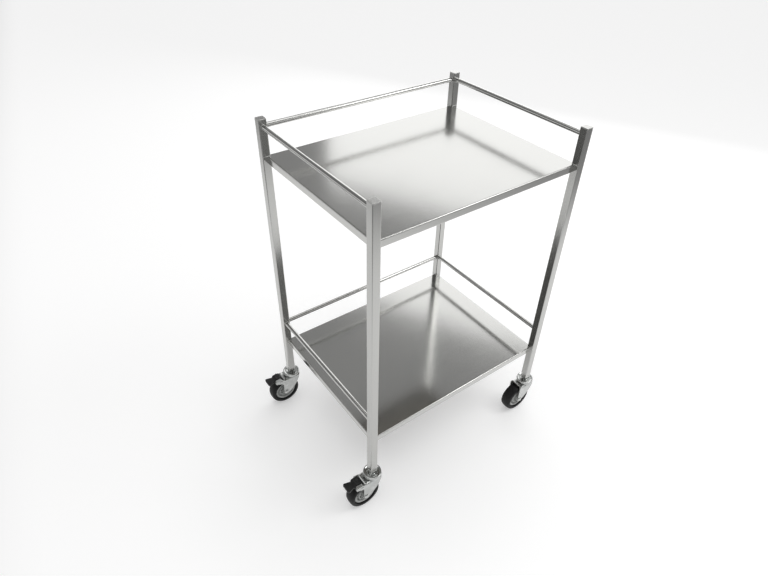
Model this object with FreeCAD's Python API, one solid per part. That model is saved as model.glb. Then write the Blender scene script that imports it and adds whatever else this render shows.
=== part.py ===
"""Two-shelf stainless instrument trolley on four swivel castors, two of them braked.

Millimetres, +Z up, +X along the shelves, open front towards -Y. The origin lies on the
floor, in the middle of the footprint that the trolley has while its castors trail to -X.
"""
import FreeCAD, Part
import math
import os

Vector = FreeCAD.Vector

# Frame sizes
LEG_SPAN_X = 630.0
LEG_SPAN_Y = 482.0
LEG_WIDTH = 22.0
LEG_WALL = 1.2
LEG_CORNER = 2.2
LEG_TOP = 1003.0
CAP_THICKNESS = 3.0
CAP_ROUNDING = 1.0
INSERT_FLANGE = 3.0
INSERT_DEPTH = 38.0
THREAD_FIT = 0.05

# Shelves and rails, heights of the shelf floor and of the rail centre
SHELF_LEVELS = {"upper": 905.0, "lower": 262.0}
RAIL_LEVELS = {"upper": 982.5, "lower": 337.0}
SHELF_INSET = 12.4
SHEET = 1.2
SKIRT = 20.5
SKIRT_RETURN = 12.0
BEND_RADIUS = 3.0
STIFFENER_OFFSET = 105.0
STIFFENER_CROWN = 30.0
STIFFENER_DEPTH = 12.0
STIFFENER_FLANGE = 12.0
STIFFENER_END = 40.0
RAIL_RADIUS = 6.35
RAIL_WALL = 1.2

# Castor sizes, measured from the floor and from the swivel axis
WHEEL_RADIUS = 50.0
TREAD_WIDTH = 35.0
TREAD_CROWN = 1.2
TYRE_DEPTH = 15.0
TRAIL = 34.0
RIM_HALF = 13.4
RIM_THICKNESS = 6.0
HUB_DISC_RADIUS = 22.0
HUB_DISC_HALF = 12.5
HUB_DISC_RING = 3.0
WEB_HALF = 5.0
RIB_HALF = 11.0
HUB_HALF = 18.6
BUSH_HALF = 19.2
HUB_BORE = 7.0
HUB_WALL = 3.5
RIM_SEAM = 2.4
AXLE_RADIUS = 5.0
AXLE_HEAD = 5.0
HEAD_RADIUS = 8.0
AXLE_CLEARANCE = 0.06
RIB_COUNT = 8
RIB_THICKNESS = 2.6

FORK_GAP = 19.5
FORK_SHEET = 3.0
CROWN_TOP = 106.0
CROWN_FRONT = 27.5
CROWN_BACK = -42.0
TAIL_START = -27.8
TAIL_RISE = 4.5
CHEEK_SHOULDER = (15.5, 94.0)
CHEEK_SWEEP = 90.0
AXLE_BOSS = 9.2
FORK_BEND = 7.5

BALL_RADIUS = 2.5
BALL_COUNT = 12
BALL_CIRCLE = 19.0
RACE_HEIGHT = 4.0
RACE_RADIUS = 24.4
CUP_RADIUS = 27.0
CUP_TOP = 118.0
CUP_FLOOR = 111.0
DISH_FLOOR = 113.5
STEM_RADIUS = 6.0
STEM_TOP = 160.0
COLLAR_RADIUS = 9.0
KINGPIN_HEAD = 10.0
KINGPIN_DEPTH = 5.0
SEAT_GAP = 0.4
NUT_HEIGHT = 8.5
STEM_NUT_FLATS = 19.0
AXLE_NUT_FLATS = 15.0
RUNNING_GAP = 0.08
PRESS_FIT = 0.02

# Brake sizes, places measured from the swivel axis (x) and the floor (z)
PIVOT_X = -50.0
PIVOT_Z = 109.0
PIN_RADIUS = 3.0
PIN_HEAD_FACE = 26.2
PIN_HEAD = 1.3
EAR_RADIUS = 6.5
EAR_ROOT = (-36.0, 95.0)
EAR_ROOT_RADIUS = 9.0
LUG_FACE = 14.4
LUG_RADIUS = 5.0
LUG_ROOT = (-38.0, 104.5)
ARM_GAP = 23.1
ARM_SHEET = 3.0
ARM_ROOT_RADIUS = 8.5
ARM_TIP_RADIUS = 6.0
ARM_TIP = (-64.5, 113.0)
ARM_FLANGE = 17.0
FLANGE_SHEET = 2.4
PLATE_X = -66.5
PLATE_LENGTH = 7.0
PLATE_BOTTOM = 102.0
PLATE_TOP = 104.5
PAD_HALF = 11.0
PAD_DEPTH = 12.0
PAD_GAP = 4.7
PEDAL_HUB = 7.4
PEDAL_REACH = 91.5
PEDAL_HALF = 13.7
PEDAL_WAIST_HALF = 11.0
PEDAL_TIP_HALF = 16.5
LOBE_TOP = 117.0
LOBE_FRONT = -42.9
LOBE_BACK = -66.6
FOOT_TOP = 111.6
FOOT_BOTTOM = 105.1
LOBE_EDGE = 2.5
SOFT_EDGE = 1.0
DIMPLE_X = -54.5
DIMPLE_RADIUS = 6.0
DIMPLE_DEPTH = 1.0
SPRING_HALF = 5.6
SPRING_RADIUS = 5.5
SPRING_COILS = 5

# Derived heights and places
FRAME_X = (PEDAL_REACH - CROWN_FRONT) / 2
INSERT_BOTTOM = CUP_TOP + NUT_HEIGHT
LEG_BOTTOM = INSERT_BOTTOM + INSERT_FLANGE
LEG_END = LEG_TOP - CAP_THICKNESS
HALF_X = LEG_SPAN_X / 2
HALF_Y = LEG_SPAN_Y / 2
HALF_LEG = LEG_WIDTH / 2
RIM_RADIUS = WHEEL_RADIUS - TYRE_DEPTH
BALL_Z = CROWN_TOP + RACE_HEIGHT + 2.0
CORNERS = {
    "front_left": (-1, -1),
    "front_right": (1, -1),
    "rear_left": (-1, 1),
    "rear_right": (1, 1),
}
BRAKED = ("front_left", "rear_left")


def block(x0, y0, z0, x1, y1, z1):
    return Part.makeBox(x1 - x0, y1 - y0, z1 - z0, Vector(x0, y0, z0))


def cylinder_y(radius, y0, y1, x=0.0, z=0.0):
    return Part.makeCylinder(radius, y1 - y0, Vector(x, y0, z), Vector(0, 1, 0))


def cylinder_z(radius, z0, z1):
    return Part.makeCylinder(radius, z1 - z0, Vector(0, 0, z0))


def arc(centre, radius, start, end):
    """First, middle and last point of an arc, from a start to an end angle in degrees."""
    angles = [math.radians(start + (end - start) * part) for part in (0, 0.5, 1)]
    return [(centre[0] + radius * math.cos(a), centre[1] + radius * math.sin(a)) for a in angles]


def mirrored(items):
    """The same stretch of a half-section on the other side of height zero, in reverse order."""
    flipped = []
    for item in reversed(items):
        if isinstance(item, tuple):
            flipped.append((item[0], -item[1]))
        else:
            flipped.append([(r, -h) for r, h in reversed(item)])
    return flipped


def closed_face(items, place):
    """Face inside a closed outline of corner points and three-point arcs, joined by lines."""
    edges = []
    stops = []
    for item in items:
        points = [place(*item)] if isinstance(item, tuple) else [place(*point) for point in item]
        if len(points) == 3:
            edges.append(Part.Arc(*points).toShape())
        stops.append((points[0], points[-1]))
    for (_, here), (there, _) in zip(stops, stops[1:] + stops[:1]):
        if here.distanceToPoint(there) > 1e-6:
            edges.append(Part.LineSegment(here, there).toShape())
    return Part.Face(Part.Wire(Part.__sortEdges__(edges)))


def revolved(items, axis):
    """Turn a closed half-section of (radius, height) points and arcs round Z or Y."""
    if axis == "Z":
        face = closed_face(items, lambda r, h: Vector(r, 0, h))
        return face.revolve(Vector(0, 0, 0), Vector(0, 0, 1), 360)
    face = closed_face(items, lambda r, h: Vector(r, h, 0))
    return face.revolve(Vector(0, 0, 0), Vector(0, 1, 0), 360)


def side_extrusion(items, y0, y1):
    """Push an outline of (x, z) points and arcs from y0 to y1."""
    face = closed_face(items, lambda x, z: Vector(x, y0, z))
    return face.extrude(Vector(0, y1 - y0, 0))


def hexagon_nut(flats, height, bore):
    """Hexagonal nut standing on the origin, its corners chamfered at both ends."""
    corner = flats / math.sqrt(3)
    turns = [math.radians(60 * i) for i in range(6)]
    outline = [(corner * math.cos(turn), corner * math.sin(turn)) for turn in turns]
    prism = closed_face(outline, lambda x, y: Vector(x, y, 0)).extrude(Vector(0, 0, height))
    envelope = [(bore, 0), (flats / 2, 0), (corner, height * 0.12), (corner, height * 0.88),
                (flats / 2, height), (bore, height)]
    return prism.common(revolved(envelope, "Z"))


def link_outline(first, first_radius, second, second_radius):
    """Outline of two circles joined by their outer tangents."""
    dx = second[0] - first[0]
    dz = second[1] - first[1]
    heading = math.degrees(math.atan2(dz, dx))
    spread = math.degrees(math.acos((first_radius - second_radius) / math.hypot(dx, dz)))
    return [arc(second, second_radius, heading - spread, heading + spread),
            arc(first, first_radius, heading + spread, heading + 360 - spread)]


def edges_along(shape, test):
    return [edge for edge in shape.Edges if test(edge)]


def upright_edges(shape):
    def upright(edge):
        ends = [v.Point for v in edge.Vertexes]
        return len(ends) == 2 and math.hypot(ends[0].x - ends[1].x, ends[0].y - ends[1].y) < 0.01
    return edges_along(shape, upright)


def level_edges(shape, height):
    return edges_along(shape, lambda edge: all(abs(v.Z - height) < 0.01 for v in edge.Vertexes))


def square_bar(half, z0, z1, corner):
    bar = block(-half, -half, z0, half, half, z1)
    return bar.makeFillet(corner, upright_edges(bar))


def leg():
    outer = square_bar(HALF_LEG, LEG_BOTTOM, LEG_END, LEG_CORNER)
    inner = square_bar(HALF_LEG - LEG_WALL, LEG_BOTTOM, LEG_END, LEG_CORNER - LEG_WALL)
    return outer.cut(inner)


def leg_cap():
    cap = square_bar(HALF_LEG, LEG_END, LEG_TOP, LEG_CORNER)
    return cap.makeFillet(CAP_ROUNDING, level_edges(cap, LEG_TOP))


def leg_insert():
    flange = square_bar(HALF_LEG, INSERT_BOTTOM, LEG_BOTTOM, LEG_CORNER)
    top = LEG_BOTTOM + INSERT_DEPTH
    plug_corner = LEG_CORNER - LEG_WALL + 0.2
    plug = square_bar(HALF_LEG - LEG_WALL - THREAD_FIT, LEG_BOTTOM, top, plug_corner)
    bore = cylinder_z(STEM_RADIUS + THREAD_FIT, INSERT_BOTTOM, top)
    return flange.fuse(plug).removeSplitter().cut(bore)


def folded_box(inset, top, bottom, top_radius, bottom_radius):
    """The shelf's outer or inner envelope, with bend radii along its top and bottom edges."""
    half_x = HALF_X + HALF_LEG - inset
    half_y = HALF_Y + HALF_LEG - inset
    shape = block(-half_x, -half_y, bottom, half_x, half_y, top)
    shape = shape.makeFillet(top_radius, level_edges(shape, top))
    return shape.makeFillet(bottom_radius, level_edges(shape, bottom))


def shelf(top):
    bottom = top - SKIRT
    outer = folded_box(SHELF_INSET, top, bottom, BEND_RADIUS, BEND_RADIUS - 1)
    inner_bend = BEND_RADIUS - SHEET
    inner = folded_box(SHELF_INSET + SHEET, top - SHEET, bottom + SHEET, inner_bend, inner_bend - 1)
    mouth_x = HALF_X + HALF_LEG - SHELF_INSET - SKIRT_RETURN
    mouth_y = HALF_Y + HALF_LEG - SHELF_INSET - SKIRT_RETURN
    mouth = block(-mouth_x, -mouth_y, bottom - 1, mouth_x, mouth_y, bottom + SHEET + 1)
    tray = outer.cut(inner).cut(mouth)
    for side_x, side_y in CORNERS.values():
        notch = block(-HALF_LEG, -HALF_LEG, bottom - 1, HALF_LEG, HALF_LEG, top + 1)
        notch.translate(Vector(side_x * HALF_X, side_y * HALF_Y, 0))
        tray = tray.cut(notch)
    return tray


def shelf_stiffeners(top):
    """Two hat-section channels spot-welded along the underside of a shelf."""
    roof = top - SHEET
    half_length = HALF_X - STIFFENER_END
    crown = STIFFENER_CROWN / 2
    flange = crown + STIFFENER_FLANGE
    low = roof - STIFFENER_DEPTH
    section = [(-flange, roof), (-crown, roof), (-crown + 4, low + SHEET), (crown - 4, low + SHEET),
               (crown, roof), (flange, roof), (flange, roof - SHEET), (crown + 1, roof - SHEET),
               (crown - 3, low), (-crown + 3, low), (-crown - 1, roof - SHEET), (-flange, roof - SHEET)]
    channels = []
    for y in (-STIFFENER_OFFSET, STIFFENER_OFFSET):
        face = closed_face(section, lambda across, z: Vector(-half_length, y + across, z))
        channels.append(face.extrude(Vector(2 * half_length, 0, 0)))
    return Part.makeCompound(channels)


def rail(start, end):
    direction = end - start
    outer = Part.makeCylinder(RAIL_RADIUS, direction.Length, start, direction)
    inner = Part.makeCylinder(RAIL_RADIUS - RAIL_WALL, direction.Length, start, direction)
    return outer.cut(inner)


def rails(level):
    face_x = HALF_X - HALF_LEG
    face_y = HALF_Y - HALF_LEG
    return {
        "left": rail(Vector(-HALF_X, -face_y, level), Vector(-HALF_X, face_y, level)),
        "rear": rail(Vector(-face_x, HALF_Y, level), Vector(face_x, HALF_Y, level)),
        "right": rail(Vector(HALF_X, -face_y, level), Vector(HALF_X, face_y, level)),
    }


def castor_stem():
    """Threaded stem, collar and kingpin in one turned piece, riveted over below the crown."""
    seat = CROWN_TOP - FORK_SHEET - SEAT_GAP
    low = CROWN_TOP - FORK_SHEET - KINGPIN_DEPTH
    rivet = [(0, low), (STEM_RADIUS, low), (KINGPIN_HEAD - 1.5, low + 1.5), (KINGPIN_HEAD, seat),
             (STEM_RADIUS, seat)]
    collar = [(STEM_RADIUS, DISH_FLOOR), (COLLAR_RADIUS, DISH_FLOOR), (COLLAR_RADIUS, CUP_TOP - 0.6),
              (COLLAR_RADIUS - 0.6, CUP_TOP), (STEM_RADIUS, CUP_TOP)]
    end = [(STEM_RADIUS, STEM_TOP - 1.5), (STEM_RADIUS - 1.5, STEM_TOP), (0, STEM_TOP)]
    return revolved(rivet + collar + end, "Z")


def top_cup():
    """Dished disc with a rolled rim above and a ball track below."""
    rim_radius = 2.8
    bore = STEM_RADIUS + PRESS_FIT
    lip = CUP_FLOOR + 0.2
    section = [(bore, CUP_FLOOR), (BALL_CIRCLE - 5, CUP_FLOOR), (BALL_CIRCLE - 3.6, BALL_Z + 0.6),
               arc((BALL_CIRCLE, BALL_Z), BALL_RADIUS + PRESS_FIT, 150, 30),
               (BALL_CIRCLE + 3.2, lip), (CUP_RADIUS - 0.8, lip), (CUP_RADIUS, lip + 0.8),
               arc((CUP_RADIUS - rim_radius, CUP_TOP - rim_radius), rim_radius, 0, 120),
               (BALL_CIRCLE + 1, CUP_TOP - 1.6), (BALL_CIRCLE - 3, CUP_TOP - 1.6),
               (BALL_CIRCLE - 7, DISH_FLOOR), (bore, DISH_FLOOR)]
    return revolved(section, "Z")


def lower_race():
    """Race ring seated on the fork's crown, with a track for the balls."""
    top = CROWN_TOP + RACE_HEIGHT
    section = [(RACE_RADIUS - 11, CROWN_TOP), (RACE_RADIUS - 0.6, CROWN_TOP), (RACE_RADIUS, CROWN_TOP + 0.8),
               arc((RACE_RADIUS - 1, top - 1), 1, 0, 90),
               arc((BALL_CIRCLE, BALL_Z), BALL_RADIUS + RUNNING_GAP, 325, 215),
               (RACE_RADIUS - 10, top), (RACE_RADIUS - 11, top - 1)]
    return revolved(section, "Z")


def ball_row():
    """One row of balls between the top cup and the lower race."""
    ball = Part.makeSphere(BALL_RADIUS - PRESS_FIT, Vector(BALL_CIRCLE, 0, BALL_Z))
    balls = []
    for i in range(BALL_COUNT):
        turned = ball.copy()
        turned.rotate(Vector(0, 0, 0), Vector(0, 0, 1), 360.0 * i / BALL_COUNT)
        balls.append(turned)
    return Part.makeCompound(balls)


def stem_nut():
    nut = hexagon_nut(STEM_NUT_FLATS, NUT_HEIGHT, STEM_RADIUS + THREAD_FIT)
    nut.translate(Vector(0, 0, CUP_TOP))
    return nut


def crown_line(drop, reach):
    """Top of the fork in side view, lowered by a drop: raised tail out to a reach, then flat."""
    slope = math.atan2(TAIL_RISE, TAIL_START - CROWN_BACK)
    knee = TAIL_START - drop * math.tan(slope / 2)
    return [(reach, CROWN_TOP - drop + (knee - reach) * math.tan(slope)), (knee, CROWN_TOP - drop)]


def cheek_outline():
    """Side view of the fork: crown with raised tail, swept front edge, round axle boss, steep back edge."""
    axle = (-TRAIL, WHEEL_RADIUS)
    tail, knee = crown_line(0, CROWN_BACK)
    heading = math.degrees(math.atan2(tail[1] - axle[1], tail[0] - axle[0]))
    back = heading + math.degrees(math.acos(AXLE_BOSS / math.dist(tail, axle)))
    sweep, front = sweep_into_boss(axle)
    shoulder = math.degrees(math.atan2(CHEEK_SHOULDER[1] - sweep[1], CHEEK_SHOULDER[0] - sweep[0]))
    return [knee, (CROWN_FRONT, CROWN_TOP), (CROWN_FRONT, CHEEK_SHOULDER[1]),
            arc(sweep, CHEEK_SWEEP, shoulder, front), arc(axle, AXLE_BOSS, front, back - 360), tail]


def sweep_into_boss(axle):
    """Centre of the cheek's large front arc, and the angle at which it runs into the axle boss."""
    dx = CHEEK_SHOULDER[0] - axle[0]
    dz = CHEEK_SHOULDER[1] - axle[1]
    reach = math.hypot(dx, dz)
    offset = CHEEK_SWEEP - AXLE_BOSS
    turn = math.acos((offset ** 2 + reach ** 2 - CHEEK_SWEEP ** 2) / (2 * offset * reach))
    direction = math.atan2(dz, dx) + turn
    centre = (axle[0] + offset * math.cos(direction), axle[1] + offset * math.sin(direction))
    return centre, math.degrees(direction) - 180


def bent_edges(shape, half):
    """Edges of the crown that run lengthways at half the fork's width."""
    def bent(edge):
        ends = [v.Point for v in edge.Vertexes]
        high = all(end.z > CROWN_TOP - FORK_SHEET - 0.01 for end in ends)
        return high and all(abs(abs(end.y) - half) < 0.01 for end in ends)
    return edges_along(shape, bent)


def fork(braked):
    """Pressed fork: round-fronted crown bent down into two cheeks, with or without brake ears."""
    outer = FORK_GAP + FORK_SHEET
    shape = side_extrusion(cheek_outline(), -outer, outer)
    shape = shape.makeFillet(FORK_BEND, bent_edges(shape, outer))
    tail, knee = crown_line(FORK_SHEET, 2 * CROWN_BACK)
    hollow = [(tail[0], 0), (2 * CROWN_FRONT, 0), (2 * CROWN_FRONT, knee[1]), knee, tail]
    inside = side_extrusion(hollow, -FORK_GAP, FORK_GAP)
    shape = shape.cut(inside.makeFillet(FORK_BEND - FORK_SHEET, bent_edges(inside, FORK_GAP)))
    ceiling = CROWN_TOP + TAIL_RISE
    plan = block(2 * CROWN_BACK, -outer, 0, 0, outer, ceiling).fuse(cylinder_z(CROWN_FRONT, 0, ceiling))
    shape = shape.common(plan)
    if braked:
        shape = shape.fuse(brake_ears(outer))
    shape = shape.cut(cylinder_z(STEM_RADIUS + RUNNING_GAP, CROWN_TOP - 10, CROWN_TOP + 1))
    shape = shape.cut(cylinder_y(AXLE_RADIUS + PRESS_FIT, -outer, outer, -TRAIL, WHEEL_RADIUS))
    return shape.removeSplitter()


def brake_ears(outer):
    """Gusset ear in the near cheek's plane, and a small lug inside the far cheek, both bored for the pin."""
    pivot = (PIVOT_X, PIVOT_Z)
    ear_outline = link_outline(pivot, EAR_RADIUS, EAR_ROOT, EAR_ROOT_RADIUS)
    lug_outline = link_outline(pivot, LUG_RADIUS, LUG_ROOT, LUG_RADIUS)
    ear = side_extrusion(ear_outline, -outer, -FORK_GAP)
    lug = side_extrusion(lug_outline, LUG_FACE, LUG_FACE + FORK_SHEET)
    return ear.fuse(lug).cut(cylinder_y(PIN_RADIUS + PRESS_FIT, -outer, outer, PIVOT_X, PIVOT_Z))


def wheel_centre():
    """Moulded wheel centre: hub, ribbed pockets, a ring, a deep groove and the rim ring."""
    rim_inner = RIM_RADIUS - RIM_THICKNESS
    disc = HUB_DISC_RADIUS
    pocket = disc - HUB_DISC_RING
    hub = HUB_BORE + HUB_WALL
    floor = WEB_HALF
    edge = RIM_HALF - 1.5
    inner_part = [(HUB_BORE, HUB_HALF), (hub, HUB_HALF), (hub + 0.7, floor), (pocket - 0.4, floor),
                  (pocket, HUB_DISC_HALF), arc((disc - 1, HUB_DISC_HALF - 1), 1, 90, 0), (disc + 0.6, floor)]
    groove = [arc((disc + 2.6, floor), 2, 180, 270), arc((rim_inner - 2, floor), 2, 270, 360)]
    rim = [arc((rim_inner + 1.5, edge), 1.5, 180, 90), arc((RIM_RADIUS - 1.5, edge), 1.5, 90, 0),
           (RIM_RADIUS, RIM_HALF - RIM_SEAM)]
    near = inner_part + groove + rim
    shape = revolved(near + mirrored(near), "Y")
    rib = block(hub - 0.5, -RIB_HALF, -RIB_THICKNESS / 2, pocket + 1, RIB_HALF, RIB_THICKNESS / 2)
    ribs = []
    for i in range(RIB_COUNT):
        turned = rib.copy()
        turned.rotate(Vector(0, 0, 0), Vector(0, 1, 0), 360.0 * i / RIB_COUNT)
        ribs.append(turned)
    return moved_to_axle(shape.multiFuse(ribs).removeSplitter())


def tyre():
    """Solid rubber tyre that stands proud of the rim, with a crowned tread and rounded shoulders."""
    half = TREAD_WIDTH / 2
    shoulder = 7.0
    bead = 2.5
    edge = WHEEL_RADIUS - TREAD_CROWN
    lip = RIM_RADIUS + 1.4
    seam = RIM_HALF - RIM_SEAM
    near = [arc((edge - shoulder, half - shoulder), shoulder, 10, 90),
            arc((lip + bead, half - bead), bead, 90, 180), (lip, seam), (RIM_RADIUS, seam)]
    far = mirrored(near)
    tread = [far[-1][-1], (WHEEL_RADIUS, 0), near[0][0]]
    return moved_to_axle(revolved([tread] + near + far, "Y"))


def moved_to_axle(shape):
    shape.translate(Vector(-TRAIL, 0, WHEEL_RADIUS))
    return shape


def hub_bush():
    outer = cylinder_y(HUB_BORE, -BUSH_HALF, BUSH_HALF)
    return moved_to_axle(outer.cut(cylinder_y(AXLE_RADIUS + AXLE_CLEARANCE, -BUSH_HALF, BUSH_HALF)))


def axle_bolt():
    """Dome-headed axle bolt, its head on the -Y cheek."""
    face = -FORK_GAP - FORK_SHEET
    end = -face + AXLE_HEAD
    rise = AXLE_HEAD - 1
    dome = (HEAD_RADIUS ** 2 + rise ** 2) / (2 * rise)
    swing = math.degrees(math.asin(HEAD_RADIUS / dome))
    head = [arc((0, face - AXLE_HEAD + dome), dome, -90, swing - 90), (HEAD_RADIUS, face)]
    shank = [(AXLE_RADIUS, face), (AXLE_RADIUS, end - 1), (AXLE_RADIUS - 1, end), (0, end)]
    return moved_to_axle(revolved(head + shank, "Y"))


def axle_nut():
    face = FORK_GAP + FORK_SHEET
    nut = hexagon_nut(AXLE_NUT_FLATS, AXLE_HEAD - 1, AXLE_RADIUS + PRESS_FIT)
    nut.rotate(Vector(0, 0, 0), Vector(1, 0, 0), -90)
    nut.translate(Vector(0, face, 0))
    return moved_to_axle(nut)


def brake_pin():
    """Headed pin from the near arm to the inner lug, riveted over at the lug."""
    near = -PIN_HEAD_FACE
    far = LUG_FACE + FORK_SHEET
    head = PIN_RADIUS + 1.6
    near_head = [(0, near - PIN_HEAD), (head - 0.5, near - PIN_HEAD), (head, near - 0.8), (head, near)]
    shank = [(PIN_RADIUS, near), (PIN_RADIUS, far)]
    far_head = [(head, far), (head - 0.5, far + PIN_HEAD), (0, far + PIN_HEAD)]
    pin = revolved(near_head + shank + far_head, "Y")
    pin.translate(Vector(PIVOT_X, 0, PIVOT_Z))
    return pin


def pivot_bore():
    reach = ARM_GAP + 2 * ARM_SHEET
    return cylinder_y(PIN_RADIUS + AXLE_CLEARANCE, -reach, reach, PIVOT_X, PIVOT_Z)


def brake_lever():
    """Stamped lever: flanged arm outside the near cheek, and a plate below the pedal for the pad."""
    outer = ARM_GAP + ARM_SHEET
    inner = ARM_GAP - ARM_SHEET
    arm = link_outline((PIVOT_X, PIVOT_Z), ARM_ROOT_RADIUS, ARM_TIP, ARM_TIP_RADIUS)
    shape = side_extrusion(arm, -outer, -ARM_GAP)
    crest = ARM_TIP[1] + ARM_TIP_RADIUS
    flange = block(ARM_TIP[0] - 3, -outer, crest - FLANGE_SHEET, PIVOT_X + 2, -ARM_FLANGE, crest)
    plate = block(PLATE_X, -ARM_GAP, PLATE_BOTTOM, PLATE_X + PLATE_LENGTH, PEDAL_HALF, PLATE_TOP)
    leg = block(PLATE_X, -ARM_GAP, PLATE_BOTTOM, PLATE_X + PLATE_LENGTH - 1, -inner, ARM_TIP[1])
    return shape.fuse([flange, plate, leg]).removeSplitter().cut(pivot_bore())


def brake_pad():
    """Block with a hollow face that follows the tread a few millimetres off it."""
    body = block(PLATE_X, -PAD_HALF, PLATE_BOTTOM - PAD_DEPTH, PLATE_X + PLATE_LENGTH, PAD_HALF, PLATE_BOTTOM)
    clear = cylinder_y(WHEEL_RADIUS + PAD_GAP, -PAD_HALF - 1, PAD_HALF + 1, -TRAIL, WHEEL_RADIUS)
    return body.cut(clear)


def lobe_outline():
    """Side view of the pedal's first lobe: hub round the pin, soft nose and rounded back."""
    nose = 4.5
    back = 9.0
    return [arc((PIVOT_X, PIVOT_Z), PEDAL_HUB, -110, 10),
            arc((LOBE_FRONT - nose, LOBE_TOP - nose), nose, 5, 90),
            arc((LOBE_BACK + back, LOBE_TOP - back), back, 90, 170), (LOBE_BACK, PLATE_TOP),
            (PLATE_X + PLATE_LENGTH, PLATE_TOP)]


def foot_plan():
    """One side of the foot pad seen from above: narrow waist, flare and round tip corner."""
    corner = 6.0
    tip_centre = (corner - PEDAL_REACH, PEDAL_TIP_HALF - corner)
    return [(LOBE_BACK + corner, PEDAL_WAIST_HALF), (LOBE_BACK - 2, PEDAL_WAIST_HALF),
            arc(tip_centre, corner, 113, 180)]


def brake_pedal():
    """Moulded pedal: a lobe with a toe dimple over the pin, then a lower foot pad."""
    lobe = side_extrusion(lobe_outline(), -PEDAL_HALF, PEDAL_HALF).common(lobe_tunnel())
    half_plan = foot_plan()
    plan = closed_face(half_plan + mirrored(half_plan), lambda x, y: Vector(x, y, FOOT_BOTTOM))
    foot = plan.extrude(Vector(0, 0, FOOT_TOP - FOOT_BOTTOM))
    foot = foot.makeFillet(SOFT_EDGE, level_edges(foot, FOOT_TOP))
    ball = (DIMPLE_RADIUS ** 2 + DIMPLE_DEPTH ** 2) / (2 * DIMPLE_DEPTH)
    dimple = Part.makeSphere(ball, Vector(DIMPLE_X, 0, LOBE_TOP - DIMPLE_DEPTH + ball))
    shape = lobe.fuse(foot).removeSplitter().cut(dimple)
    return shape.cut(spring_pocket()).cut(pivot_bore())


def lobe_tunnel():
    """Long bar along X with rounded upper edges, whose section is the lobe seen from the tip."""
    inset = PEDAL_HALF - LOBE_EDGE
    centre = LOBE_TOP - LOBE_EDGE
    low = PIVOT_Z - 2 * PEDAL_HUB
    section = [(-PEDAL_HALF, low), (PEDAL_HALF, low), arc((inset, centre), LOBE_EDGE, 0, 90),
               arc((-inset, centre), LOBE_EDGE, 90, 180)]
    return closed_face(section, lambda y, z: Vector(-PEDAL_REACH, y, z)).extrude(Vector(PEDAL_REACH, 0, 0))


def spring_pocket():
    """Hollow round the spring, open below."""
    half = SPRING_HALF + 0.6
    radius = SPRING_RADIUS + 0.6
    mouth = PIVOT_Z - 2 * radius
    section = [arc((PIVOT_X, PIVOT_Z), radius, 0, 180), (PIVOT_X - radius, mouth), (PIVOT_X + radius, mouth)]
    return side_extrusion(section, -half, half)


def brake_spring():
    """Return spring wound round the pin, drawn as touching coils."""
    pitch = 2 * SPRING_HALF / SPRING_COILS
    low = PIN_RADIUS + 0.3
    valley = SPRING_RADIUS - 0.8
    crest = []
    for i in range(SPRING_COILS):
        start = -SPRING_HALF + i * pitch
        crest += [(valley, start), (SPRING_RADIUS, start + pitch / 2)]
    section = [(low, -SPRING_HALF)] + crest + [(valley, SPRING_HALF), (low, SPRING_HALF)]
    spring = revolved(section, "Y")
    spring.translate(Vector(PIVOT_X, 0, PIVOT_Z))
    return spring


def at_leg(shape, corner):
    side_x, side_y = CORNERS[corner]
    copy = shape.copy()
    copy.translate(Vector(FRAME_X + side_x * HALF_X, side_y * HALF_Y, 0))
    return copy


def at_each_leg(shape):
    return Part.makeCompound([at_leg(shape, corner) for corner in CORNERS])


def frame_nodes():
    nodes = {}
    for corner in CORNERS:
        nodes[corner + "_leg"] = at_leg(leg(), corner)
    nodes["leg_top_caps"] = at_each_leg(leg_cap())
    nodes["leg_inserts"] = at_each_leg(leg_insert())
    centre = Vector(FRAME_X, 0, 0)
    for level, height in SHELF_LEVELS.items():
        nodes[level + "_shelf"] = shelf(height).translated(centre)
        nodes[level + "_shelf_stiffeners"] = shelf_stiffeners(height).translated(centre)
        for side, bar in rails(RAIL_LEVELS[level]).items():
            nodes[level + "_" + side + "_rail"] = bar.translated(centre)
    nodes["castor_stems"] = at_each_leg(castor_stem())
    nodes["castor_top_cups"] = at_each_leg(top_cup())
    nodes["castor_balls"] = at_each_leg(ball_row())
    nodes["castor_lock_nuts"] = at_each_leg(stem_nut())
    return nodes


def castor_nodes():
    forks = {False: fork(False), True: fork(True)}
    shared = {"lower_race": lower_race(), "wheel_centre": wheel_centre(), "tyre": tyre(),
              "hub_bush": hub_bush(), "axle_bolt": axle_bolt(), "axle_nut": axle_nut()}
    nodes = {}
    for corner in CORNERS:
        nodes[corner + "_fork"] = at_leg(forks[corner in BRAKED], corner)
        for name, shape in shared.items():
            nodes[corner + "_" + name] = at_leg(shape, corner)
    return nodes


def brake_nodes():
    shared = {"brake_pedal": brake_pedal(), "brake_lever": brake_lever(), "brake_pad": brake_pad(),
              "brake_pin": brake_pin(), "brake_spring": brake_spring()}
    nodes = {}
    for corner in BRAKED:
        for name, shape in shared.items():
            nodes[corner + "_" + name] = at_leg(shape, corner)
    return nodes


def main():
    os.makedirs("parts", exist_ok=True)
    nodes = {}
    nodes.update(frame_nodes())
    nodes.update(castor_nodes())
    nodes.update(brake_nodes())
    for name, shape in nodes.items():
        shape.exportStep(os.path.join("parts", name + ".step"))
        print(name, len(shape.Solids), shape.isValid(), round(shape.Volume, 1))
    print("nodes", len(nodes))


main()
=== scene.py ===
"""Finish and studio for a two-shelf stainless instrument trolley on swivel castors."""
import math

import bmesh
import bpy
from mathutils import Matrix, Vector


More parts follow.
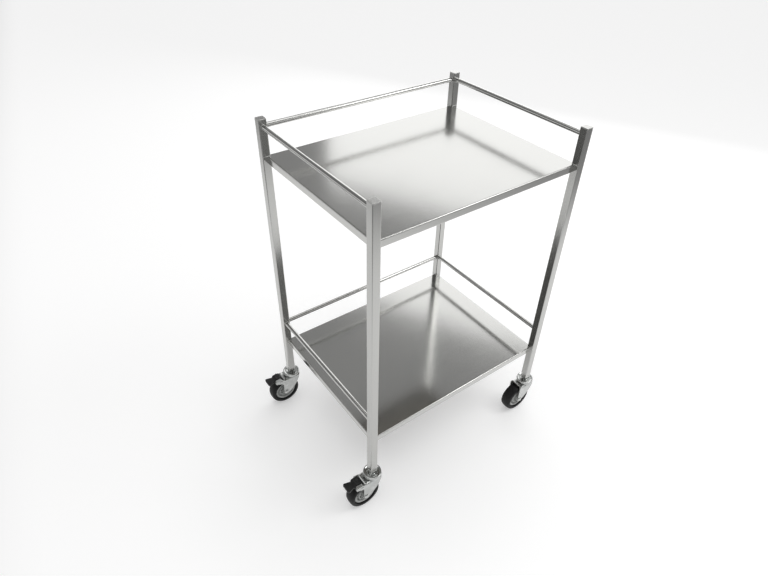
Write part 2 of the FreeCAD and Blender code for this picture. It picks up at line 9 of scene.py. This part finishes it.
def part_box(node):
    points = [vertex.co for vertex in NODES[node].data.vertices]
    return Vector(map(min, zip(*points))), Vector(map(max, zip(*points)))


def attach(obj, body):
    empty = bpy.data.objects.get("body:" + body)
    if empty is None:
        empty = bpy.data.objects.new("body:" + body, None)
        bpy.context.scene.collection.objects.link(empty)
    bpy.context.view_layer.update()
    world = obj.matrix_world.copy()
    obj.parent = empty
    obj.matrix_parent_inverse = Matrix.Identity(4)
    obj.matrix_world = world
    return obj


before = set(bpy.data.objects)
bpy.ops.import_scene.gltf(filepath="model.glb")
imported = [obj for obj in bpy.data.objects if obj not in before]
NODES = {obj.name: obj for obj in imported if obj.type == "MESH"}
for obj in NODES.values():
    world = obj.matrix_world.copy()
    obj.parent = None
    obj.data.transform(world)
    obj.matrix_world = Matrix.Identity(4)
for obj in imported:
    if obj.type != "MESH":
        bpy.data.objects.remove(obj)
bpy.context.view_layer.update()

bl_info = {
    "name": "Stainless Instrument Trolley",
    "version": (1, 0, 0),
    "blender": (4, 5, 0),
    "location": "3D View > Sidebar > Trolley",
    "description": "Brushed steel frame, plated castors, welds and a pale studio for an instrument trolley",
    "category": "Object",
}

CORNERS = ("front_left", "front_right", "rear_left", "rear_right")
BRAKED = ("front_left", "rear_left")
LEVELS = ("upper", "lower")

WHITE = (1.0, 1.0, 1.0, 1.0)
DUST_TONE = (0.32, 0.31, 0.29, 1.0)
# Painted shade: the dark colour of shelf faces that look down; the mill roughness is the sheet's own finish.
PAINTED_UNDERSIDE_SHADE = (0.2, 0.19, 0.175, 1.0)
MILL_ROUGHNESS = 0.3
GRAIN_SHADES = (0.93, 1.05)
CRYSTAL_DEPTH = 0.00001
WELD_INSET = 0.002
WELD_RIPPLE_TURNS = 13
WELD_RUN_RIPPLES = 40

FLOOR_HALF_SIZE = 12.0
FLOOR_TONE = 0.72
FLOOR_GLOW = 0.38
# The floor is white in a wedge under the trolley; outside it the floor fades to a grey that is painted
# shade.
WEDGE_HALF_WIDTH = 1.24
WEDGE_SPREAD = 0.526
WEDGE_NEAR_EDGE = -0.75
WEDGE_FADE = 1.1
PAINTED_FALLOFF_TONE = 0.3

PANEL_PLACE = Vector((2.65, 1.41, 1.77))
PANEL_AIM = Vector((0.0, 0.0, 1.77))
PANEL_SIZE = (4.2, 2.28)
SIDE_PLACE = Vector((1.77, -1.34, 2.72))
SIDE_AIM = Vector((0.2, 0.1, 0.6))
SIDE_SIZE = (1.2, 1.2)
HORIZON_RISE = (0.14, 0.36)
CEILING_RISE = (0.8, 0.88)
ROOM_SPAN = (-0.8, 0.6)
ROOM_SHADES = (0.6, 1.2)


class TrolleyFinish(bpy.types.PropertyGroup):
    """Colours and small sizes of the trolley that a user may change."""

    steel: bpy.props.FloatVectorProperty(
        name="Stainless steel", description="Reflected colour of the shelves, legs and rails",
        subtype="COLOR", size=3, min=0.0, max=1.0, default=(0.57, 0.57, 0.555))
    zinc: bpy.props.FloatVectorProperty(
        name="Zinc plate", description="Reflected colour of forks, races, bolts and brake levers",
        subtype="COLOR", size=3, min=0.0, max=1.0, default=(0.62, 0.63, 0.62))
    wheel: bpy.props.FloatVectorProperty(
        name="Wheel centre", description="Colour of the moulded wheel centres",
        subtype="COLOR", size=3, min=0.0, max=1.0, default=(0.52, 0.53, 0.52))
    rubber: bpy.props.FloatVectorProperty(
        name="Rubber", description="Colour of the tyres and brake pads",
        subtype="COLOR", size=3, min=0.0, max=1.0, default=(0.008, 0.008, 0.0085))
    pedal: bpy.props.FloatVectorProperty(
        name="Pedal plastic", description="Colour of the brake pedals",
        subtype="COLOR", size=3, min=0.0, max=1.0, default=(0.012, 0.012, 0.0125))
    bead: bpy.props.FloatProperty(
        name="Weld bead", description="Radius of the dressed weld bead round each joint",
        subtype="DISTANCE", unit="LENGTH", min=0.0003, max=0.003, default=0.0011)
    grain: bpy.props.FloatProperty(
        name="Grain depth", description="Depth of the brushed lines in the steel",
        subtype="DISTANCE", unit="LENGTH", min=0.0, max=0.0002, default=0.00002)


class TrolleyStudio(bpy.types.PropertyGroup):
    """Camera and light of the studio."""

    lens: bpy.props.FloatProperty(
        name="Lens", description="Focal length on a 36 mm wide sensor, in millimetres",
        min=10.0, max=200.0, default=26.74)
    azimuth: bpy.props.FloatProperty(
        name="Camera azimuth", description="Direction the camera stands in, from the open front",
        subtype="ANGLE", unit="ROTATION", default=math.radians(-36.61))
    elevation: bpy.props.FloatProperty(
        name="Camera elevation", description="How far the camera looks down",
        subtype="ANGLE", unit="ROTATION", default=math.radians(38.56))
    roll: bpy.props.FloatProperty(
        name="Camera roll", description="Tilt of the camera about its own view line",
        subtype="ANGLE", unit="ROTATION", default=math.radians(1.23))
    place: bpy.props.FloatVectorProperty(
        name="Camera place", description="Where the camera stands, from the floor origin",
        subtype="XYZ", unit="LENGTH", size=3, default=(-0.83335, -1.01981, 1.5499))
    panel: bpy.props.FloatProperty(
        name="Panel", description="Power of the wide soft panel behind the right side",
        subtype="POWER", min=0.0, default=35.0)
    side: bpy.props.FloatProperty(
        name="Side light", description="Power of the soft lamp before the open front",
        subtype="POWER", min=0.0, default=18.0)
    overhead: bpy.props.FloatProperty(
        name="Overhead", description="Brightness of the white ceiling above the trolley",
        min=0.0, default=1.7)
    room: bpy.props.FloatProperty(
        name="Room", description="Brightness of the grey room between floor line and ceiling",
        min=0.0, default=0.28)


class Tree:
    """Short hand for building a node tree: nodes are made by type and fed by value or by link."""

    def __init__(self, tree):
        self.tree = tree

    def add(self, kind, values=None, **settings):
        node = self.tree.nodes.new(kind)
        for name, value in settings.items():
            setattr(node, name, value)
        for name, value in (values or {}).items():
            self.feed(node, name, value)
        return node

    def feed(self, node, name, value):
        socket = node.inputs[name]
        if isinstance(value, bpy.types.NodeSocket):
            self.tree.links.new(value, socket)
        else:
            socket.default_value = value

    def math(self, operation, *values):
        node = self.add("ShaderNodeMath", operation=operation)
        for index, value in enumerate(values):
            self.feed(node, index, value)
        return node.outputs[0]

    def remap(self, value, low, high, to_low, to_high, interpolation="LINEAR"):
        limits = {"Value": value, "From Min": low, "From Max": high, "To Min": to_low, "To Max": to_high}
        node = self.add("ShaderNodeMapRange", limits, interpolation_type=interpolation)
        return node.outputs["Result"]

    def smooth(self, value, low, high, to_low, to_high):
        return self.remap(value, low, high, to_low, to_high, "SMOOTHSTEP")

    def blend(self, factor, first, second, blend_type="MIX"):
        node = self.add("ShaderNodeMix", data_type="RGBA", blend_type=blend_type)
        for index, value in ((0, factor), (6, first), (7, second)):
            self.feed(node, index, value)
        return node.outputs[2]

    def grey(self, value):
        node = self.add("ShaderNodeCombineColor", {"Red": value, "Green": value, "Blue": value})
        return node.outputs[0]


def new_group(name, inputs, outputs):
    """A shader node group with named sockets; inputs and outputs are (name, socket type, default)."""
    group = bpy.data.node_groups.new(name, "ShaderNodeTree")
    for label, kind, default in inputs:
        socket = group.interface.new_socket(label, in_out="INPUT", socket_type=kind)
        socket.default_value = default
    for label, kind in outputs:
        group.interface.new_socket(label, in_out="OUTPUT", socket_type=kind)
    tree = Tree(group)
    return group, tree, tree.add("NodeGroupInput"), tree.add("NodeGroupOutput")


def grain_group():
    """Brushed lines: a noise squeezed across the brushing direction, with broad soft clouds over it."""
    group, tree, given, result = new_group(
        "Brushed Grain",
        [("Squeeze", "NodeSocketVector", (6.0, 700.0, 700.0)), ("Rough", "NodeSocketFloat", 0.24),
         ("Rough Swing", "NodeSocketFloat", 0.08), ("Smudge", "NodeSocketFloat", 0.05)],
        [("Streak", "NodeSocketFloat"), ("Roughness", "NodeSocketFloat")])
    place = tree.add("ShaderNodeTexCoord").outputs["Object"]
    squeezed = tree.add("ShaderNodeVectorMath", {0: place, 1: given.outputs["Squeeze"]},
                        operation="MULTIPLY").outputs[0]
    lines = tree.add("ShaderNodeTexNoise",
                     {"Vector": squeezed, "Scale": 1.0, "Detail": 3.0, "Roughness": 0.65})
    clouds = tree.add("ShaderNodeTexNoise",
                      {"Vector": place, "Scale": 9.0, "Detail": 4.0, "Roughness": 0.55})
    swing = tree.math("MULTIPLY", tree.math("SUBTRACT", lines.outputs["Fac"], 0.5),
                      given.outputs["Rough Swing"])
    wiped = tree.math("MULTIPLY", tree.math("SUBTRACT", clouds.outputs["Fac"], 0.5),
                      given.outputs["Smudge"])
    rough = tree.math("ADD", tree.math("ADD", given.outputs["Rough"], swing), wiped)
    tree.feed(result, "Streak", lines.outputs["Fac"])
    tree.feed(result, "Roughness", rough)
    return group


def plate_group():
    """Bright zinc plate: small crystals of slightly different tone and shine, dulled in patches."""
    group, tree, given, result = new_group(
        "Zinc Plate",
        [("Colour", "NodeSocketColor", (0.6, 0.6, 0.6, 1.0)), ("Crystal Scale", "NodeSocketFloat", 420.0),
         ("Rough", "NodeSocketFloat", 0.26)],
        [("Colour", "NodeSocketColor"), ("Roughness", "NodeSocketFloat"), ("Height", "NodeSocketFloat")])
    place = tree.add("ShaderNodeTexCoord").outputs["Object"]
    crystals = tree.add("ShaderNodeTexVoronoi",
                        {"Vector": place, "Scale": given.outputs["Crystal Scale"]})
    patches = tree.add("ShaderNodeTexNoise", {"Vector": place, "Scale": 55.0, "Detail": 5.0})
    tone = tree.remap(crystals.outputs["Distance"], 0.0, 0.7, 1.0, 0.9)
    worn = tree.remap(patches.outputs["Fac"], 0.35, 0.7, 0.88, 1.04)
    shade = tree.math("MULTIPLY", tone, worn)
    dulled = tree.remap(patches.outputs["Fac"], 0.3, 0.7, 0.1, -0.06)
    tree.feed(result, "Colour", tree.blend(1.0, given.outputs["Colour"], tree.grey(shade), "MULTIPLY"))
    tree.feed(result, "Roughness", tree.math("ADD", given.outputs["Rough"], dulled))
    tree.feed(result, "Height", crystals.outputs["Distance"])
    return group


def dust_group():
    """Scuffed rubber or plastic: fine pores, and pale dust that gathers in soft patches."""
    group, tree, given, result = new_group(
        "Scuff And Dust",
        [("Colour", "NodeSocketColor", (0.02, 0.02, 0.02, 1.0)), ("Dust", "NodeSocketFloat", 0.1),
         ("Rough", "NodeSocketFloat", 0.6), ("Pore Scale", "NodeSocketFloat", 900.0)],
        [("Colour", "NodeSocketColor"), ("Roughness", "NodeSocketFloat"), ("Height", "NodeSocketFloat")])
    place = tree.add("ShaderNodeTexCoord").outputs["Object"]
    pores = tree.add("ShaderNodeTexNoise",
                     {"Vector": place, "Scale": given.outputs["Pore Scale"], "Detail": 2.0})
    patches = tree.add("ShaderNodeTexNoise",
                       {"Vector": place, "Scale": 38.0, "Detail": 6.0, "Roughness": 0.7})
    gathered = tree.remap(patches.outputs["Fac"], 0.45, 0.75, 0.0, 1.0)
    mask = tree.math("MULTIPLY", gathered, given.outputs["Dust"])
    dulled = tree.math("MULTIPLY", mask, 0.5)
    tree.feed(result, "Colour", tree.blend(mask, given.outputs["Colour"], DUST_TONE))
    tree.feed(result, "Roughness", tree.math("ADD", given.outputs["Rough"], dulled))
    tree.feed(result, "Height", pores.outputs["Fac"])
    return group


def shared_group(name):
    """The named effect, built the first time that a material asks for it."""
    makers = {"Brushed Grain": grain_group, "Zinc Plate": plate_group, "Scuff And Dust": dust_group}
    return bpy.data.node_groups.get(name) or makers[name]()


def new_material(name, **shader):
    """A material with its Principled shader; shader values are socket names with _ for spaces."""
    material = bpy.data.materials.new(name)
    material.use_nodes = True
    tree = Tree(material.node_tree)
    principled = material.node_tree.nodes["Principled BSDF"]
    for label, value in shader.items():
        principled.inputs[label.replace("_", " ")].default_value = value
    return material, tree, principled


def place_group(tree, name, **values):
    """The shared effect in a material, with this material's values; _ stands for a space."""
    node = tree.add("ShaderNodeGroup", node_tree=shared_group(name))
    for label, value in values.items():
        node.inputs[label.replace("_", " ")].default_value = value
    return node.outputs


def add_bump(tree, principled, height, distance):
    bump = tree.add("ShaderNodeBump", {"Height": height, "Strength": 1.0, "Distance": distance})
    tree.feed(principled, "Normal", bump.outputs["Normal"])


def opaque(colour):
    return (colour[0], colour[1], colour[2], 1.0)


def brushed_steel(name, squeeze, rough, swing, depth, smudge=0.05, tint=1.0):
    """Stainless steel brushed along one direction; squeeze is the grain's fineness along X, Y and Z."""
    finish = bpy.context.scene.trolley_finish
    material, tree, principled = new_material(name, Metallic=1.0)
    grain = place_group(tree, "Brushed Grain", Squeeze=squeeze, Rough=rough, Rough_Swing=swing,
                        Smudge=smudge)
    steel = Vector(finish.steel) * tint
    dark, light = (opaque(steel * shade) for shade in GRAIN_SHADES)
    tree.feed(principled, "Base Color", tree.blend(grain["Streak"], dark, light))
    tree.feed(principled, "Roughness", grain["Roughness"])
    add_bump(tree, principled, grain["Streak"], depth)
    return material


def mill_finish_and_shade_underside(material):
    """Faces that look down keep the rougher mill finish of the sheet, and take a dark colour that is painted
    shade.
    """
    tree = Tree(material.node_tree)
    principled = material.node_tree.nodes["Principled BSDF"]
    normal = tree.add("ShaderNodeNewGeometry").outputs["Normal"]
    facing = tree.add("ShaderNodeSeparateXYZ", {"Vector": normal})
    below = tree.remap(facing.outputs["Z"], -0.5, -0.9, 0.0, 1.0)
    colour = principled.inputs["Base Color"].links[0].from_socket
    rough = principled.inputs["Roughness"].links[0].from_socket
    # Painted shade: faces that look down turn dark, for the shade under the shelves.
    tree.feed(principled, "Base Color", tree.blend(below, colour, PAINTED_UNDERSIDE_SHADE))
    tree.feed(principled, "Roughness", tree.math("MULTIPLY_ADD", below, MILL_ROUGHNESS, rough))


def zinc_plate(name, rough, shade=1.0):
    """Bright zinc plate on pressed, turned or rolled castor pieces."""
    finish = bpy.context.scene.trolley_finish
    material, tree, principled = new_material(name, Metallic=1.0)
    plate = place_group(tree, "Zinc Plate", Colour=opaque(Vector(finish.zinc) * shade), Rough=rough)
    tree.feed(principled, "Base Color", plate["Colour"])
    tree.feed(principled, "Roughness", plate["Roughness"])
    add_bump(tree, principled, plate["Height"], CRYSTAL_DEPTH)
    return material


def moulded(name, colour, rough, dust, pore_scale, pore_depth, gloss):
    """Rubber or plastic with fine pores and a little dust."""
    material, tree, principled = new_material(name, Specular_IOR_Level=gloss)
    scuff = place_group(tree, "Scuff And Dust", Colour=opaque(colour), Dust=dust, Rough=rough,
                        Pore_Scale=pore_scale)
    tree.feed(principled, "Base Color", scuff["Colour"])
    tree.feed(principled, "Roughness", scuff["Roughness"])
    add_bump(tree, principled, scuff["Height"], pore_depth)
    return material


def dress(material, *names):
    """Give CAD nodes their material."""
    for name in names:
        NODES[name].data.materials.clear()
        NODES[name].data.materials.append(material)


def mesh_piece(name, build, material, body):
    """A new piece from a bmesh that build fills; it rides on a body and takes a finish slot."""
    form = bmesh.new()
    build(form)
    bmesh.ops.recalc_face_normals(form, faces=form.faces)
    mesh = bpy.data.meshes.new(name)
    form.to_mesh(mesh)
    form.free()
    mesh.shade_smooth()
    mesh.materials.append(material)
    piece = bpy.data.objects.new(name, mesh)
    bpy.context.scene.collection.objects.link(piece)
    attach(piece, body)


class TROLLEY_OT_sheet_steel(bpy.types.Operator):
    """Brush the shelves and their stiffeners along the long side"""

    bl_idname = "trolley.sheet_steel"
    bl_label = "Shelf steel"

    def execute(self, context):
        depth = context.scene.trolley_finish.grain
        sheet = brushed_steel("Brushed Shelf Sheet", (5.0, 900.0, 900.0), 0.15, 0.07, depth * 0.5,
                              smudge=0.04)
        mill_finish_and_shade_underside(sheet)
        for level in LEVELS:
            dress(sheet, level + "_shelf", level + "_shelf_stiffeners")
        return {"FINISHED"}


class TROLLEY_OT_tube_steel(bpy.types.Operator):
    """Brush the legs, caps and rails along their length"""

    bl_idname = "trolley.tube_steel"
    bl_label = "Tube steel"

    def execute(self, context):
        depth = context.scene.trolley_finish.grain
        upright = brushed_steel("Brushed Leg Tube", (800.0, 800.0, 5.0), 0.2, 0.1, depth, tint=0.9)
        cap = brushed_steel("Dressed Leg Cap", (300.0, 800.0, 300.0), 0.28, 0.08, depth)
        along_x = brushed_steel("Polished Rail Long", (6.0, 700.0, 700.0), 0.16, 0.08, depth * 0.6)
        along_y = brushed_steel("Polished Rail Cross", (700.0, 6.0, 700.0), 0.16, 0.08, depth * 0.6)
        dress(upright, *(corner + "_leg" for corner in CORNERS))
        dress(cap, "leg_top_caps", "leg_inserts")
        for level in LEVELS:
            dress(along_x, level + "_rear_rail")
            dress(along_y, level + "_left_rail", level + "_right_rail")
        return {"FINISHED"}


class TROLLEY_OT_castor_metal(bpy.types.Operator):
    """Zinc plate on forks, races, bolts and brake levers"""

    bl_idname = "trolley.castor_metal"
    bl_label = "Castor metal"

    def execute(self, context):
        pressed = zinc_plate("Plated Pressing", 0.27)
        turned = zinc_plate("Plated Turning", 0.2)
        balls = zinc_plate("Bearing Balls", 0.1, 1.1)
        dress(turned, "castor_stems", "castor_top_cups", "castor_lock_nuts")
        dress(balls, "castor_balls")
        for corner in CORNERS:
            dress(pressed, corner + "_fork", corner + "_lower_race")
            dress(turned, corner + "_axle_bolt", corner + "_axle_nut", corner + "_hub_bush")
        for corner in BRAKED:
            dress(pressed, corner + "_brake_lever")
            dress(turned, corner + "_brake_pin", corner + "_brake_spring")
        return {"FINISHED"}


class TROLLEY_OT_wheels(bpy.types.Operator):
    """Grey moulded wheel centres and black rubber tyres"""

    bl_idname = "trolley.wheels"
    bl_label = "Wheels"

    def execute(self, context):
        finish = context.scene.trolley_finish
        centre = moulded("Grey Wheel Moulding", finish.wheel, 0.42, 0.12, 700.0, 0.00001, gloss=0.5)
        rubber = moulded("Black Tyre Rubber", finish.rubber, 0.5, 0.06, 1100.0, 0.00003, gloss=0.22)
        for corner in CORNERS:
            dress(centre, corner + "_wheel_centre")
            dress(rubber, corner + "_tyre")
        return {"FINISHED"}


class TROLLEY_OT_brakes(bpy.types.Operator):
    """Black plastic pedals and rubber brake pads"""

    bl_idname = "trolley.brakes"
    bl_label = "Brakes"

    def execute(self, context):
        finish = context.scene.trolley_finish
        plastic = moulded("Black Pedal Plastic", finish.pedal, 0.4, 0.05, 1500.0, 0.00002, gloss=0.3)
        pad = moulded("Brake Pad Rubber", finish.rubber, 0.7, 0.15, 900.0, 0.00004, gloss=0.22)
        for corner in BRAKED:
            dress(plastic, corner + "_brake_pedal")
            dress(pad, corner + "_brake_pad")
        return {"FINISHED"}


class TROLLEY_OT_rail_welds(bpy.types.Operator):
    """Dressed weld beads round both ends of every rail"""

    bl_idname = "trolley.rail_welds"
    bl_label = "Rail welds"

    def execute(self, context):
        bead = context.scene.trolley_finish.bead
        material = brushed_steel("Dressed Weld", (500.0, 500.0, 500.0), 0.34, 0.1, 0.00003, tint=0.86)
        for level in LEVELS:
            for side in ("left", "rear", "right"):
                name = level + "_" + side + "_rail"
                ends = rail_ends(name)
                mesh_piece(name + "_welds", lambda form: add_ring_beads(form, ends, bead), material, "frame")
        return {"FINISHED"}


class TROLLEY_OT_shelf_welds(bpy.types.Operator):
    """Short fillet welds where each shelf meets the inner faces of the legs"""

    bl_idname = "trolley.shelf_welds"
    bl_label = "Shelf welds"

    def execute(self, context):
        bead = context.scene.trolley_finish.bead
        material = bpy.data.materials["Dressed Weld"]
        for level in LEVELS:
            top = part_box(level + "_shelf")[1][2]
            runs = [run for corner in CORNERS for run in inner_runs(corner + "_leg", top)]
            mesh_piece(level + "_shelf_welds", lambda form: add_straight_beads(form, runs, bead), material,
                       "frame")
        return {"FINISHED"}


def inner_runs(leg, height):
    """Two weld runs at a leg: start, end and outward direction along the faces that look at the shelf."""
    low, high = (Vector(corner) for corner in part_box(leg))
    middle = (low + high) / 2
    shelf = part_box("upper_shelf")
    centre = Vector(((shelf[0][0] + shelf[1][0]) / 2, (shelf[0][1] + shelf[1][1]) / 2, 0.0))
    side_x = 1.0 if centre.x > middle.x else -1.0
    side_y = 1.0 if centre.y > middle.y else -1.0
    face_x = high.x if side_x > 0 else low.x
    face_y = high.y if side_y > 0 else low.y
    start_x, end_x = low.x + WELD_INSET, high.x - WELD_INSET
    start_y, end_y = low.y + WELD_INSET, high.y - WELD_INSET
    return [(Vector((face_x, start_y, height)), Vector((face_x, end_y, height)), Vector((side_x, 0.0, 0.0))),
            (Vector((start_x, face_y, height)), Vector((end_x, face_y, height)), Vector((0.0, side_y, 0.0)))]


def add_straight_beads(form, runs, bead, steps=26, across=8):
    """Rippled half-round weld beads in the corner between a leg face and the sheet."""
    up = Vector((0.0, 0.0, 1.0))
    for start, end, out in runs:
        rings = []
        for i in range(steps + 1):
            part = i / steps
            fade = min(1.0, 6 * part + 0.2, 6 * (1 - part) + 0.2)
            swell = bead * fade * (1.0 + 0.1 * math.sin(part * WELD_RUN_RIPPLES))
            spot = start.lerp(end, part)
            rings.append([form.verts.new(spot + out * swell * math.cos(2 * math.pi * j / across)
                                         + up * swell * math.sin(2 * math.pi * j / across))
                          for j in range(across)])
        for ring, following in zip(rings, rings[1:]):
            for j in range(across):
                form.faces.new((ring[j], ring[(j + 1) % across], following[(j + 1) % across], following[j]))
        form.faces.new(rings[0])
        form.faces.new(rings[-1])


def rail_ends(name):
    """Centre, inward direction and radius at both ends of a rail node."""
    low, high = (Vector(corner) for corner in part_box(name))
    centre = (low + high) / 2
    size = high - low
    axis = 0 if size.x > size.y else 1
    radius = size.z / 2
    ends = []
    for corner, sign in ((low, 1.0), (high, -1.0)):
        place = centre.copy()
        place[axis] = corner[axis]
        inward = Vector((0.0, 0.0, 0.0))
        inward[axis] = sign
        ends.append((place, inward, radius))
    return ends


def add_ring_beads(form, ends, bead, around=40, across=8):
    """A rippled ring of weld where a round tube meets a flat face."""
    for place, inward, radius in ends:
        side = Vector((0.0, 0.0, 1.0))
        other = inward.cross(side)
        rings = []
        for i in range(around):
            turn = 2 * math.pi * i / around
            out = side * math.cos(turn) + other * math.sin(turn)
            swell = bead * (1.0 + 0.12 * math.sin(turn * WELD_RIPPLE_TURNS))
            ring = []
            for j in range(across):
                part = 2 * math.pi * j / across
                ring.append(form.verts.new(place + out * (radius + swell * math.cos(part) * 0.9)
                                           + inward * swell * (0.35 + 0.65 * math.sin(part))))
            rings.append(ring)
        bridge_rings(form, rings)


def bridge_rings(form, rings):
    """Quads between neighbouring closed rings of vertices, the last joined to the first."""
    for ring, following in zip(rings, rings[1:] + rings[:1]):
        count = len(ring)
        for j in range(count):
            form.faces.new((ring[j], ring[(j + 1) % count], following[(j + 1) % count], following[j]))


class TROLLEY_OT_stage(bpy.types.Operator):
    """Pale floor with grey painted shade round it, two soft lamps, studio room and the camera"""

    bl_idname = "trolley.stage"
    bl_label = "Stage"

    def execute(self, context):
        studio = context.scene.trolley_studio
        add_floor(studio)
        add_room(context.scene, studio)
        add_lamp("Panel Lamp", PANEL_PLACE, PANEL_AIM, PANEL_SIZE, studio.panel)
        add_lamp("Side Lamp", SIDE_PLACE, SIDE_AIM, SIDE_SIZE, studio.side)
        add_camera(context.scene, studio)
        context.scene.view_settings.view_transform = "Standard"
        return {"FINISHED"}


def add_floor(studio):
    """A wide plane, white in a wedge under the trolley that widens to the rear, and grey painted shade
    outside of it.

    The grey is painted shade for the far floor's fall-off of light, seen mostly in the steel's reflections;
    the white wedge reads white to the eye and in the metal, and takes the shadow.
    """
    form = bmesh.new()
    bmesh.ops.create_grid(form, x_segments=1, y_segments=1, size=FLOOR_HALF_SIZE)
    mesh = bpy.data.meshes.new("studio_floor")
    form.to_mesh(mesh)
    form.free()
    floor = bpy.data.objects.new("studio_floor", mesh)
    bpy.context.scene.collection.objects.link(floor)
    material, tree, principled = new_material("Studio Floor", Roughness=0.9, Specular_IOR_Level=0.0)
    place = tree.add("ShaderNodeTexCoord").outputs["Object"]
    turned = tree.add("ShaderNodeVectorRotate", {"Vector": place, "Angle": studio.azimuth},
                      rotation_type="Z_AXIS", invert=True)
    sheet = tree.add("ShaderNodeSeparateXYZ", {"Vector": turned.outputs[0]}).outputs
    half_width = tree.math("MULTIPLY_ADD", sheet["Y"], WEDGE_SPREAD, WEDGE_HALF_WIDTH)
    past_side = tree.math("SUBTRACT", tree.math("ABSOLUTE", sheet["X"]), half_width)
    past_front = tree.math("SUBTRACT", WEDGE_NEAR_EDGE, sheet["Y"])
    beyond = tree.math("MAXIMUM", past_side, past_front)
    # Painted shade: outside the white wedge the floor's colour and glow fade to a grey tone, for the far
    # floor's fall-off of light.
    painted_falloff = tree.smooth(beyond, 0.0, WEDGE_FADE, 1.0, PAINTED_FALLOFF_TONE)
    tree.feed(principled, "Base Color", tree.grey(tree.math("MULTIPLY", painted_falloff, FLOOR_TONE)))
    rays = tree.add("ShaderNodeLightPath").outputs
    seen = tree.math("MAXIMUM", rays["Is Camera Ray"],
                     tree.math("MAXIMUM", rays["Is Glossy Ray"], rays["Is Transmission Ray"]))
    glow = tree.add("ShaderNodeEmission", {"Color": WHITE})
    tree.feed(glow, "Strength", tree.math("MULTIPLY", tree.math("MULTIPLY", seen, painted_falloff), FLOOR_GLOW))
    both = tree.add("ShaderNodeAddShader")
    tree.feed(both, 0, principled.outputs[0])
    tree.feed(both, 1, glow.outputs[0])
    tree.feed(material.node_tree.nodes["Material Output"], "Surface", both.outputs[0])
    mesh.materials.append(material)


def add_room(scene, studio):
    """A grey room, darker to the left, with a white floor line and a bright ceiling."""
    world = bpy.data.worlds.new("Studio Room")
    world.use_nodes = True
    scene.world = world
    tree = Tree(world.node_tree)
    direction = tree.add("ShaderNodeTexCoord").outputs["Generated"]
    along = tree.add("ShaderNodeSeparateXYZ", {"Vector": direction}).outputs
    horizon = tree.smooth(along["Z"], *HORIZON_RISE, 1.0, 0.0)
    ceiling = tree.smooth(along["Z"], *CEILING_RISE, 0.0, studio.overhead)
    room = tree.smooth(along["X"], *ROOM_SPAN, *(studio.room * shade for shade in ROOM_SHADES))
    light = tree.math("MAXIMUM", tree.math("MAXIMUM", horizon, ceiling), room)
    background = world.node_tree.nodes["Background"]
    background.inputs["Color"].default_value = WHITE
    tree.feed(background, "Strength", light)


def add_lamp(name, place, target, size, power):
    """A soft rectangular lamp that faces its target and is not seen by the camera."""
    light = bpy.data.lights.new(name, "AREA")
    light.shape = "RECTANGLE"
    light.size, light.size_y = size
    light.energy = power
    lamp = bpy.data.objects.new(name, light)
    lamp.location = place
    lamp.visible_camera = False
    lamp.rotation_euler = (target - place).to_track_quat("-Z", "Y").to_euler()
    bpy.context.scene.collection.objects.link(lamp)


def add_camera(scene, studio):
    """The photograph's view: place, direction, roll and focal length."""
    camera_data = bpy.data.cameras.new("Camera")
    camera_data.sensor_width = 36.0
    camera_data.lens = studio.lens
    camera = bpy.data.objects.new("Camera", camera_data)
    scene.collection.objects.link(camera)
    flat = math.cos(studio.elevation)
    back = Vector((math.sin(studio.azimuth) * flat, -math.cos(studio.azimuth) * flat,
                   math.sin(studio.elevation)))
    right = (-back).cross(Vector((0.0, 0.0, 1.0))).normalized()
    up = right.cross(-back)
    level = Matrix((right, up, back)).transposed()
    turned = level @ Matrix.Rotation(studio.roll, 3, "Z")
    camera.matrix_world = Matrix.Translation(Vector(studio.place)) @ turned.to_4x4()
    scene.camera = camera


class TROLLEY_PT_sidebar(bpy.types.Panel):
    """Lists the trolley's finishes and pieces"""

    bl_idname = "TROLLEY_PT_sidebar"
    bl_label = "Instrument Trolley"
    bl_space_type = "VIEW_3D"
    bl_region_type = "UI"
    bl_category = "Trolley"

    def draw(self, context):
        for settings in (context.scene.trolley_finish, context.scene.trolley_studio):
            for name in settings.__annotations__:
                self.layout.prop(settings, name)
        for operator in OPERATORS:
            self.layout.operator(operator.bl_idname)


OPERATORS = (TROLLEY_OT_sheet_steel, TROLLEY_OT_tube_steel, TROLLEY_OT_castor_metal, TROLLEY_OT_wheels,
             TROLLEY_OT_brakes, TROLLEY_OT_rail_welds, TROLLEY_OT_shelf_welds, TROLLEY_OT_stage)
CLASSES = (TrolleyFinish, TrolleyStudio) + OPERATORS + (TROLLEY_PT_sidebar,)


def register():
    for cls in CLASSES:
        bpy.utils.register_class(cls)
    bpy.types.Scene.trolley_finish = bpy.props.PointerProperty(type=TrolleyFinish)
    bpy.types.Scene.trolley_studio = bpy.props.PointerProperty(type=TrolleyStudio)


def unregister():
    del bpy.types.Scene.trolley_studio
    del bpy.types.Scene.trolley_finish
    for cls in reversed(CLASSES):
        bpy.utils.unregister_class(cls)


def main():
    register()
    for operator in OPERATORS:
        group, name = operator.bl_idname.split(".")
        getattr(getattr(bpy.ops, group), name)()


if __name__ == "__main__":
    main()
